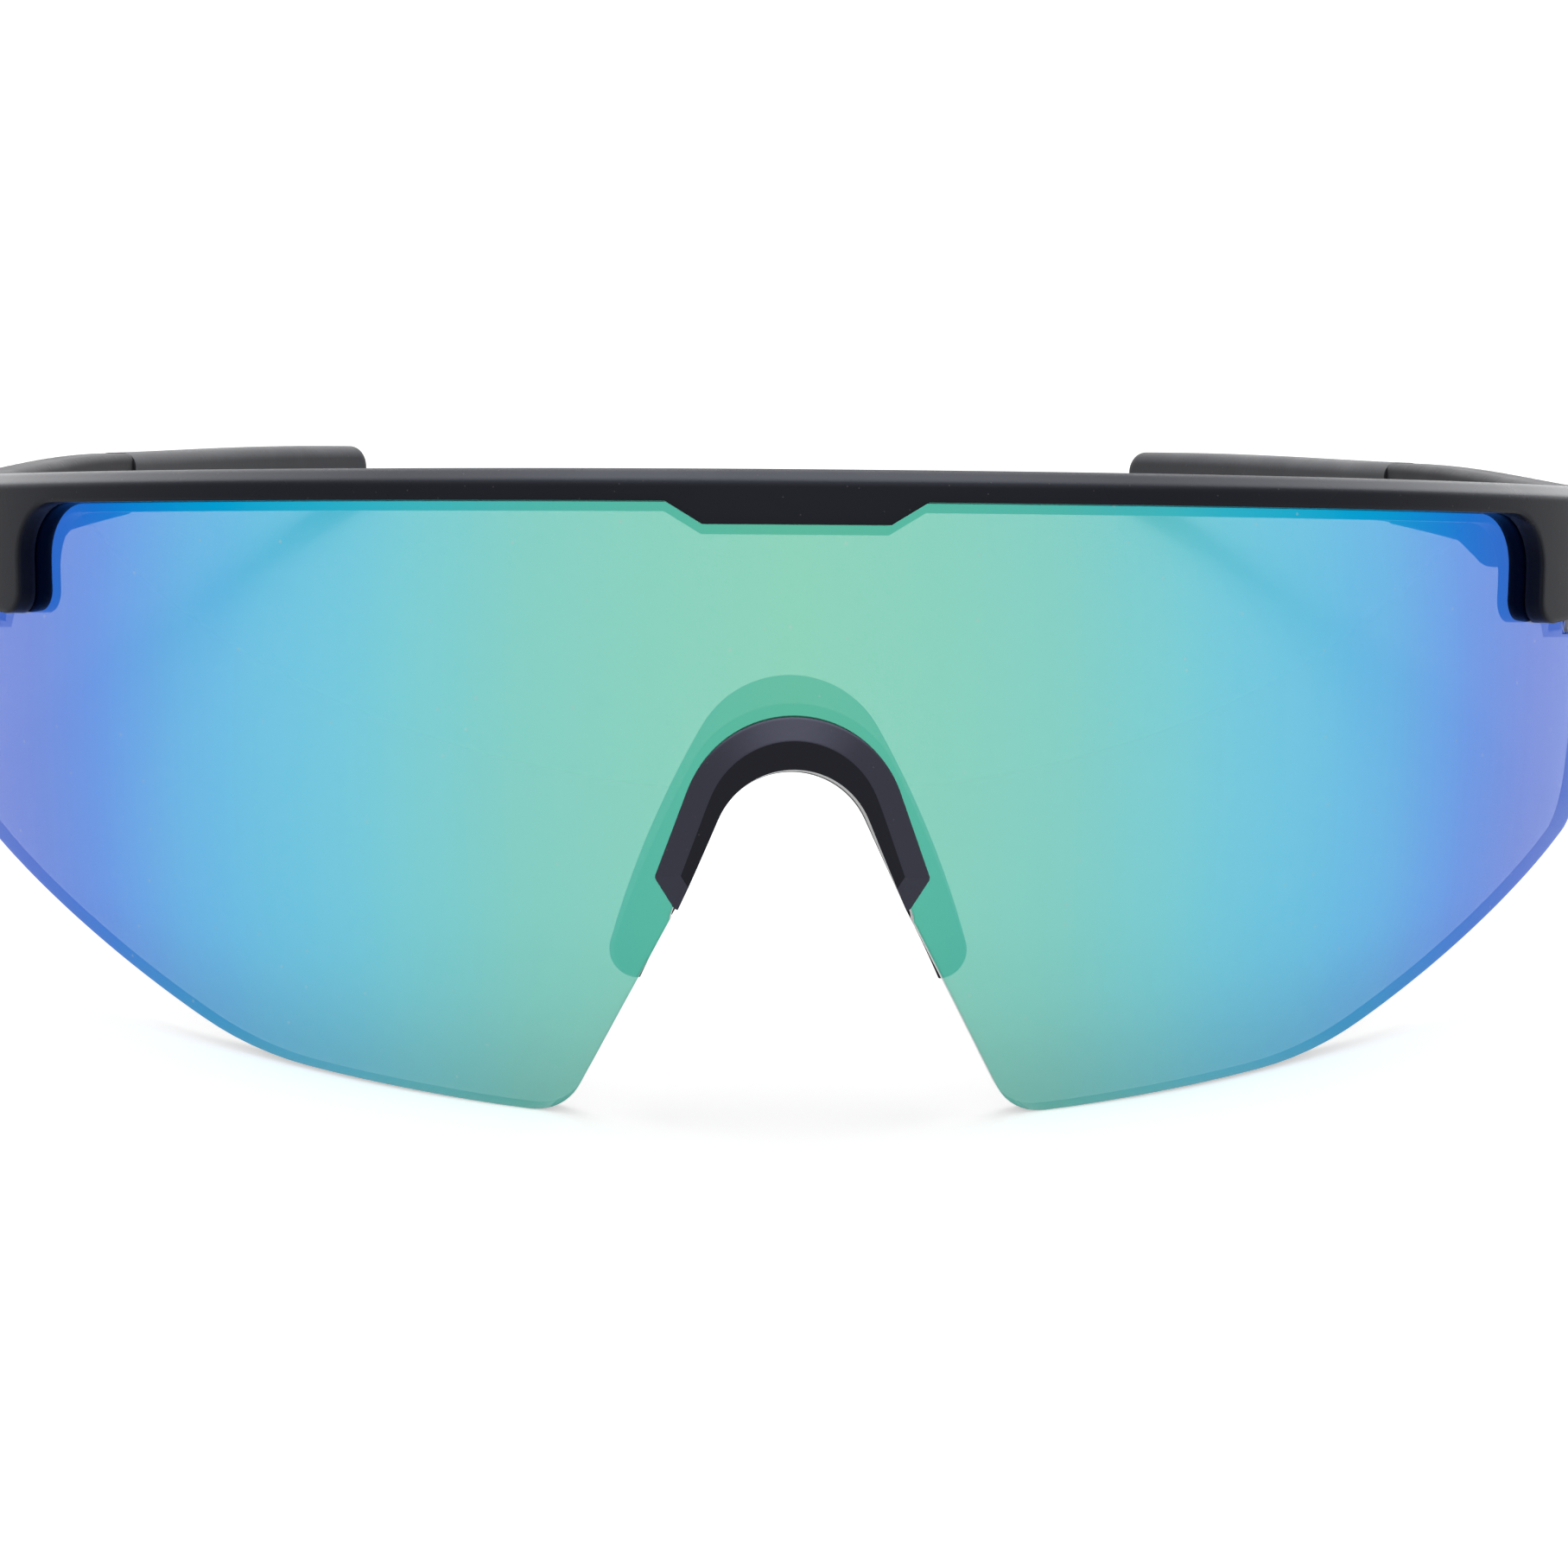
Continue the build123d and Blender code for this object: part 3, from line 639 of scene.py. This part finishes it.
def lens_mesh():
    """The lens as a closed shell: a front and a back, each a grid of rows between the lens's lower
    outline and its top edge, and rings round the edge that follow a rounded profile."""
    lens = settings("sunglasses_lens")
    outline = front_outline()
    lower, upper = split_outline(outline)
    ring = np.concatenate([lower, upper[::-1][1:-1]])
    normal = outward(ring)
    profile, ring_slots = edge_profile()
    rings = [on_shell(*(ring + out * normal).T, deep) for out, deep in profile]

    sheet = between(lower, upper, LENS_ROWS)
    points, faces, slots = [], [], []
    start = 0
    for deep, slot in ((0.0, COATED), (lens.thickness, INSIDE)):
        points.append(on_shell(sheet[..., 0], sheet[..., 1], deep).reshape(-1, 3))
        quads = grid_faces(LENS_ROWS, LENS_COLUMNS, start)
        faces.append(quads if slot == COATED else quads[:, ::-1])
        slots.append(np.full(len(quads), slot))
        start += LENS_ROWS * LENS_COLUMNS
    points.append(np.concatenate(rings))
    faces.append(grid_faces(len(rings), len(ring), start, closed=True))
    slots.append(np.repeat(ring_slots, len(ring)))

    points, faces, slots = (np.concatenate(part) for part in (points, faces, slots))
    mesh = mesh_from("shield_lens_polished", standing(points), faces, slots)
    work = bmesh.new()
    work.from_mesh(mesh)
    bmesh.ops.remove_doubles(work, verts=work.verts, dist=SAME_LENS_POINT)
    bmesh.ops.recalc_face_normals(work, faces=work.faces)
    work.to_mesh(mesh)
    work.free()
    paint_places(mesh, np.abs(outline[:, 0]).max(), outline[:, 1].min(), outline[:, 1].max())
    return mesh


def paint_places(mesh, widest, lowest, highest):
    """A UV map that holds the angle round the face across, and the height upwards."""
    lens = settings("sunglasses_lens")
    place = np.empty(len(mesh.vertices) * 3, np.float32)
    mesh.vertices.foreach_get("co", place)
    points = worn(place.reshape(-1, 3).astype(float))
    sweep = np.arctan2(points[:, 0], lens.face_radius - points[:, 1]) / (2 * widest) + 0.5
    rise = (points[:, 2] - lowest) / (highest - lowest)
    corners = np.empty(len(mesh.loops), np.int32)
    mesh.loops.foreach_get("vertex_index", corners)
    layer = mesh.uv_layers.new(name="Sweep and drop")
    layer.data.foreach_set("uv", np.column_stack([sweep, rise])[corners].astype(np.float32).reshape(-1))


class SUNGLASSES_OT_lens(bpy.types.Operator):
    """Build the mirrored lens"""

    bl_idname = "sunglasses.lens"
    bl_label = "Lens"

    def execute(self, context):
        chosen = settings("sunglasses_lens")
        materials = [
            mirror_coating(),
            lens_plastic("Tinted polycarbonate", chosen.body_alpha),
            lens_plastic("Tinted polycarbonate edge", chosen.edge_alpha),
        ]
        finished("shield_lens_polished", lens_mesh(), "front", "lens_tint", materials, "shield_lens")
        return {"FINISHED"}


# ---------------------------------------------------------------------------------------------
# Frame, temples, pads and hinges
# ---------------------------------------------------------------------------------------------


BEVEL_LEAN = (0.9, 0.975)


def mark_highlighted_bevels(mesh):
    """Give the second material slot, a painted highlight, to the faces that lean a little from the lens's
    shell, as bevels do.
    """
    centres = worn(np.array([face.center for face in mesh.polygons]))
    normals = np.array([face.normal for face in mesh.polygons]) @ WORN_AXES
    steps = np.eye(3) * ON_SURFACE
    slope = np.stack([shell_offset(centres + step) - shell_offset(centres - step) for step in steps], axis=-1)
    slope /= np.linalg.norm(slope, axis=1, keepdims=True)
    forward = np.sum(normals * slope, axis=1)
    bevels = (forward > BEVEL_LEAN[0]) & (forward < BEVEL_LEAN[1])
    mesh.polygons.foreach_set("material_index", bevels.astype(np.int32))
    return mesh


class SUNGLASSES_OT_front(bpy.types.Operator):
    """Finish the brow and the nose clip"""

    bl_idname = "sunglasses.front"
    bl_label = "Brow and nose clip"

    def execute(self, context):
        mesh = smooth_copy("brow_frame", crease=12.0)
        satin = frame_plastic()
        weighted(finished("brow_frame_satin", mesh, "front", "frame_plastic", [satin], "brow_frame"))
        mesh = mark_highlighted_bevels(smooth_copy("nose_clip", crease=12.0))
        # Painted reflection colour: both clip plastics tint their reflections bluish
        face = clip_plastic("Glossy black plastic", 0.17, (0.78, 0.8, 1.0))
        # Painted highlight: the bevels get a copy of the clip's plastic with stronger, bluer reflections
        bevel_highlight = clip_plastic("Glossy black plastic bevel", 0.5, (0.7, 0.71, 1.0))
        weighted(finished("nose_clip_glossy", mesh, "front", "frame_plastic", [face, bevel_highlight], "nose_clip"))
        return {"FINISHED"}


class SUNGLASSES_OT_temples(bpy.types.Operator):
    """Finish the temple arms and their soft sleeves"""

    bl_idname = "sunglasses.temples"
    bl_label = "Temples"

    def execute(self, context):
        for side in ("left", "right"):
            arm, sleeve, body = f"{side}_temple_arm", f"{side}_temple_sleeve", f"{side}_temple"
            mesh = smooth_copy(arm, crease=20.0)
            weighted(finished(arm + "_satin", mesh, body, "frame_plastic", [temple_plastic()], arm))
            mesh = smooth_copy(sleeve, crease=30.0)
            weighted(finished(sleeve + "_soft", mesh, body, "soft_rubber", [soft_rubber()], sleeve))
        return {"FINISHED"}


class SUNGLASSES_OT_nose_pad(bpy.types.Operator):
    """Finish the soft nose pad"""

    bl_idname = "sunglasses.nose_pad"
    bl_label = "Nose pad"

    def execute(self, context):
        mesh = smooth_copy("nose_pad", crease=30.0)
        weighted(finished("nose_pad_soft", mesh, "front", "soft_rubber", [soft_rubber()], "nose_pad"))
        return {"FINISHED"}


class SUNGLASSES_OT_hinges(bpy.types.Operator):
    """Finish the hinge screws and bushes"""

    bl_idname = "sunglasses.hinges"
    bl_label = "Hinges"

    def execute(self, context):
        steel = turned_metal("Screw steel", (0.56, 0.56, 0.57), 0.32)
        brass = turned_metal("Bush brass", (0.72, 0.5, 0.2), 0.3)
        for side in ("left", "right"):
            for part, metal, slot in (("screw", steel, "screw_steel"), ("bush", brass, "bush_brass")):
                node = f"{side}_hinge_{part}"
                mesh = smooth_copy(node, crease=30.0)
                weighted(finished(node + "_turned", mesh, "front", slot, [metal], node))
        return {"FINISHED"}


# ---------------------------------------------------------------------------------------------
# Stage
# ---------------------------------------------------------------------------------------------

CAMERA_PLACE = np.array([-12.14, -346.2, -10.04]) * MM
CAMERA_YAW = radians(1.871)
CAMERA_PITCH = radians(2.435)
CAMERA_ROLL = radians(0.39)


def camera_matrix():
    """Where the camera stands: its right, up and backward directions, and its place."""
    forward = np.array(
        [
            np.sin(CAMERA_YAW) * np.cos(CAMERA_PITCH),
            np.cos(CAMERA_YAW) * np.cos(CAMERA_PITCH),
            -np.sin(CAMERA_PITCH),
        ]
    )
    level = np.cross(forward, [0, 0, 1])
    level /= np.linalg.norm(level)
    upright = np.cross(level, forward)
    right = level * np.cos(CAMERA_ROLL) + upright * np.sin(CAMERA_ROLL)
    up = upright * np.cos(CAMERA_ROLL) - level * np.sin(CAMERA_ROLL)
    turned = np.column_stack([WORN_AXES @ right, WORN_AXES @ up, -(WORN_AXES @ forward)])
    matrix = np.eye(4)
    matrix[:3, :3] = turned
    matrix[:3, 3] = standing(CAMERA_PLACE)
    return Matrix(matrix.tolist())


def overhead_light(strength, softness=40.0, lean=18.0):
    """One broad, soft light, high up and a little behind; its softness and lean are in degrees."""
    lamp = bpy.data.lights.new("overhead", "SUN")
    lamp.energy = strength
    lamp.angle = radians(softness)
    piece = bpy.data.objects.new("overhead", lamp)
    piece.rotation_euler = (radians(-lean), 0.0, 0.0)
    bpy.context.scene.collection.objects.link(piece)


# The softbox begins, and is fully bright, where a direction's upward part plus SOFTBOX_BEHIND
# times its backward part reaches these
SOFTBOX_EDGE = 0.45
SOFTBOX_FULL = 0.85
SOFTBOX_BEHIND = 1.2


def room(stage):
    """An even surround that shows as plain white, and a softbox above and behind for reflections only."""
    world = bpy.data.worlds.new("Room")
    world.use_nodes = True
    nodes = Nodes(world.node_tree)
    background = world.node_tree.nodes["Background"]
    rays = nodes.add("ShaderNodeLightPath").outputs
    sky = nodes.add("ShaderNodeTexCoord").outputs["Generated"]
    direction = nodes.add("ShaderNodeSeparateXYZ", {0: sky})
    behind = nodes.maths("MULTIPLY", nodes.maths("MAXIMUM", direction.outputs["Y"], 0.0), SOFTBOX_BEHIND)
    growth = {
        "Value": nodes.maths("ADD", direction.outputs["Z"], behind),
        "From Min": SOFTBOX_EDGE,
        "From Max": SOFTBOX_FULL,
        "To Min": stage.reflected,
        "To Max": stage.softbox,
    }
    softbox = nodes.add("ShaderNodeMapRange", growth, interpolation_type="SMOOTHSTEP").outputs["Result"]
    mirrored = {"Factor": rays["Is Glossy Ray"], NUMBER_A: stage.surround, NUMBER_B: softbox}
    lit = nodes.add("ShaderNodeMix", mirrored).outputs[NUMBER_MIXED]
    plain_white = {"Factor": rays["Is Camera Ray"], NUMBER_A: lit, NUMBER_B: 1.0}
    shown = nodes.add("ShaderNodeMix", plain_white).outputs[NUMBER_MIXED]
    nodes.feed(background.inputs["Strength"], shown)
    background.inputs["Color"].default_value = (1, 1, 1, 1)
    bpy.context.scene.world = world


def table_white(stage):
    """The light table's matt white, which glows a little and has a faint speckle."""
    material, nodes, shader = new_material("Table white")
    speckle = nodes.add("ShaderNodeTexNoise", {"Scale": 400.0})
    pale = tuple(channel * 0.985 for channel in stage.floor_colour)
    tone = nodes.mix(speckle.outputs["Fac"], pale, tuple(stage.floor_colour))
    nodes.feed(shader.inputs["Base Color"], tone)
    shader.inputs["Roughness"].default_value = 0.9
    shader.inputs["Specular IOR Level"].default_value = 0.0
    shader.inputs["Emission Color"].default_value = (1, 1, 1, 1)
    shader.inputs["Emission Strength"].default_value = stage.floor_glow
    return material


def table(stage):
    """The light table that the sunglasses stand on."""
    side = stage.floor_reach
    corners = np.array([[-side, -side, 0], [side, -side, 0], [side, side, 0], [-side, side, 0]], float)
    floor = bpy.data.objects.new("table_top", mesh_from("table_top", corners, np.array([[0, 1, 2, 3]])))
    bpy.context.scene.collection.objects.link(floor)
    floor.data.materials.append(table_white(stage))


def camera(stage):
    """The camera in front of the face, which the scene is seen through."""
    lens = bpy.data.cameras.new("camera")
    lens.lens = stage.focal_length
    lens.sensor_width = 36.0
    lens.clip_start = 0.01
    lens.clip_end = 100.0
    piece = bpy.data.objects.new("camera", lens)
    piece.matrix_world = camera_matrix()
    bpy.context.scene.collection.objects.link(piece)
    bpy.context.scene.camera = piece


class SUNGLASSES_OT_stage(bpy.types.Operator):
    """Build the table, the room, the light and the camera"""

    bl_idname = "sunglasses.stage"
    bl_label = "Stage"

    def execute(self, context):
        stage = settings("sunglasses_stage")
        table(stage)
        room(stage)
        overhead_light(stage.overhead)
        camera(stage)
        context.scene.view_settings.view_transform = "Standard"
        return {"FINISHED"}


# ---------------------------------------------------------------------------------------------
# Panel and registration
# ---------------------------------------------------------------------------------------------

OPERATORS = (
    SUNGLASSES_OT_lens,
    SUNGLASSES_OT_front,
    SUNGLASSES_OT_temples,
    SUNGLASSES_OT_nose_pad,
    SUNGLASSES_OT_hinges,
    SUNGLASSES_OT_stage,
)


class SUNGLASSES_PT_panel(bpy.types.Panel):
    """Sizes, colours and steps of the sunglasses"""

    bl_idname = "SUNGLASSES_PT_panel"
    bl_label = "Sunglasses"
    bl_space_type = "VIEW_3D"
    bl_region_type = "UI"
    bl_category = "Sunglasses"

    def draw(self, context):
        for name in GROUPS:
            box = self.layout.box()
            group = getattr(context.scene, name)
            for setting in group.__annotations__:
                box.prop(group, setting)
        for operator in OPERATORS:
            self.layout.operator(operator.bl_idname)


GROUPS = {
    "sunglasses_lens": LensSettings,
    "sunglasses_frame": FrameSettings,
    "sunglasses_stage": StageSettings,
}


def register():
    for group in GROUPS.values():
        bpy.utils.register_class(group)
    for operator in OPERATORS:
        bpy.utils.register_class(operator)
    bpy.utils.register_class(SUNGLASSES_PT_panel)
    for name, group in GROUPS.items():
        setattr(bpy.types.Scene, name, PointerProperty(type=group))


def unregister():
    for name in GROUPS:
        delattr(bpy.types.Scene, name)
    bpy.utils.unregister_class(SUNGLASSES_PT_panel)
    for operator in reversed(OPERATORS):
        bpy.utils.unregister_class(operator)
    for group in reversed(list(GROUPS.values())):
        bpy.utils.unregister_class(group)


def main():
    """Build every piece and the stage."""
    register()
    bpy.ops.sunglasses.lens()
    bpy.ops.sunglasses.front()
    bpy.ops.sunglasses.temples()
    bpy.ops.sunglasses.nose_pad()
    bpy.ops.sunglasses.hinges()
    bpy.ops.sunglasses.stage()


if __name__ == "__main__":
    main()
